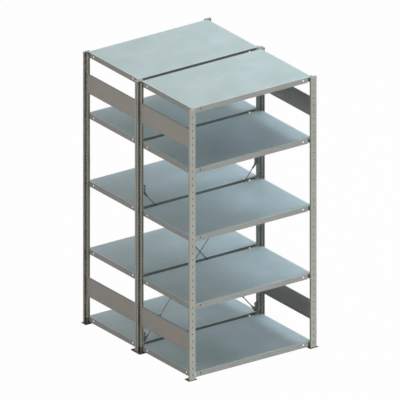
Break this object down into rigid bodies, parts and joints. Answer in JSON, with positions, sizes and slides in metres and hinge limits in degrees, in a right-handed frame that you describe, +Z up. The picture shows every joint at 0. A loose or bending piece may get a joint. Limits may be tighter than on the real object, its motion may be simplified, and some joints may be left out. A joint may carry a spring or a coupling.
{
  "type": "double sided library shelving",
  "caption": "Two boltless steel shelving units back to back: slotted T posts, wide end traverses, a diagonal brace between them and flat tray shelves that lift off clips.",
  "frame": {"origin": "on the floor, at the centre of the footprint", "axes": "+Z up, +X along the shelves, -Y towards the front aisle"},
  "size_m": [1.077, 1.278, 2],
  "materials": {
    "post_paint": "satin warm grey",
    "traverse_paint": "satin warm grey",
    "shelf_zinc": "pale zinc coated sheet",
    "foot_steel": "matt grey",
    "brace_steel": "zinc plated"
  },
  "bodies": {
    "frame": {"front_left_outer_post": "post_paint", "front_left_inner_post": "post_paint", "front_right_outer_post": "post_paint", "front_right_inner_post": "post_paint", "rear_left_outer_post": "post_paint", "rear_left_inner_post": "post_paint", "rear_right_outer_post": "post_paint", "rear_right_inner_post": "post_paint", "front_left_outer_foot": "foot_steel", "front_left_inner_foot": "foot_steel", "front_right_outer_foot": "foot_steel", "front_right_inner_foot": "foot_steel", "rear_left_outer_foot": "foot_steel", "rear_left_inner_foot": "foot_steel", "rear_right_outer_foot": "foot_steel", "rear_right_inner_foot": "foot_steel", "front_left_lower_traverse": "traverse_paint", "front_left_upper_traverse": "traverse_paint", "front_right_lower_traverse": "traverse_paint", "front_right_upper_traverse": "traverse_paint", "rear_left_lower_traverse": "traverse_paint", "rear_left_upper_traverse": "traverse_paint", "rear_right_lower_traverse": "traverse_paint", "rear_right_upper_traverse": "traverse_paint", "brace_left_lower_bracket": "brace_steel", "brace_left_upper_bracket": "brace_steel", "brace_right_lower_bracket": "brace_steel", "brace_right_upper_bracket": "brace_steel", "brace_left_lower_bolt": "brace_steel", "brace_left_upper_bolt": "brace_steel", "brace_right_lower_bolt": "brace_steel", "brace_right_upper_bolt": "brace_steel", "brace_front_lower_rod": "brace_steel", "brace_front_upper_rod": "brace_steel", "brace_rear_lower_rod": "brace_steel", "brace_rear_upper_rod": "brace_steel", "brace_front_turnbuckle": "brace_steel", "brace_rear_turnbuckle": "brace_steel"},
    "front_shelf_1": {"front_shelf_1": "shelf_zinc"},
    "front_shelf_2": {"front_shelf_2": "shelf_zinc"},
    "front_shelf_3": {"front_shelf_3": "shelf_zinc"},
    "front_shelf_4": {"front_shelf_4": "shelf_zinc"},
    "front_shelf_5": {"front_shelf_5": "shelf_zinc"},
    "rear_shelf_1": {"rear_shelf_1": "shelf_zinc"},
    "rear_shelf_2": {"rear_shelf_2": "shelf_zinc"},
    "rear_shelf_3": {"rear_shelf_3": "shelf_zinc"},
    "rear_shelf_4": {"rear_shelf_4": "shelf_zinc"},
    "rear_shelf_5": {"rear_shelf_5": "shelf_zinc"}
  },
  "joints": [
    {"name": "front_shelf_1_lift", "type": "slide", "parent": "frame", "child": "front_shelf_1", "axis": [0, 0, 1], "range_m": [0, 0.12]},
    {"name": "front_shelf_2_lift", "type": "slide", "parent": "frame", "child": "front_shelf_2", "axis": [0, 0, 1], "range_m": [0, 0.12]},
    {"name": "front_shelf_3_lift", "type": "slide", "parent": "frame", "child": "front_shelf_3", "axis": [0, 0, 1], "range_m": [0, 0.12]},
    {"name": "front_shelf_4_lift", "type": "slide", "parent": "frame", "child": "front_shelf_4", "axis": [0, 0, 1], "range_m": [0, 0.12]},
    {"name": "front_shelf_5_lift", "type": "slide", "parent": "frame", "child": "front_shelf_5", "axis": [0, 0, 1], "range_m": [0, 0.12]},
    {"name": "rear_shelf_1_lift", "type": "slide", "parent": "frame", "child": "rear_shelf_1", "axis": [0, 0, 1], "range_m": [0, 0.12]},
    {"name": "rear_shelf_2_lift", "type": "slide", "parent": "frame", "child": "rear_shelf_2", "axis": [0, 0, 1], "range_m": [0, 0.12]},
    {"name": "rear_shelf_3_lift", "type": "slide", "parent": "frame", "child": "rear_shelf_3", "axis": [0, 0, 1], "range_m": [0, 0.12]},
    {"name": "rear_shelf_4_lift", "type": "slide", "parent": "frame", "child": "rear_shelf_4", "axis": [0, 0, 1], "range_m": [0, 0.12]},
    {"name": "rear_shelf_5_lift", "type": "slide", "parent": "frame", "child": "rear_shelf_5", "axis": [0, 0, 1], "range_m": [0, 0.12]}
  ]
}
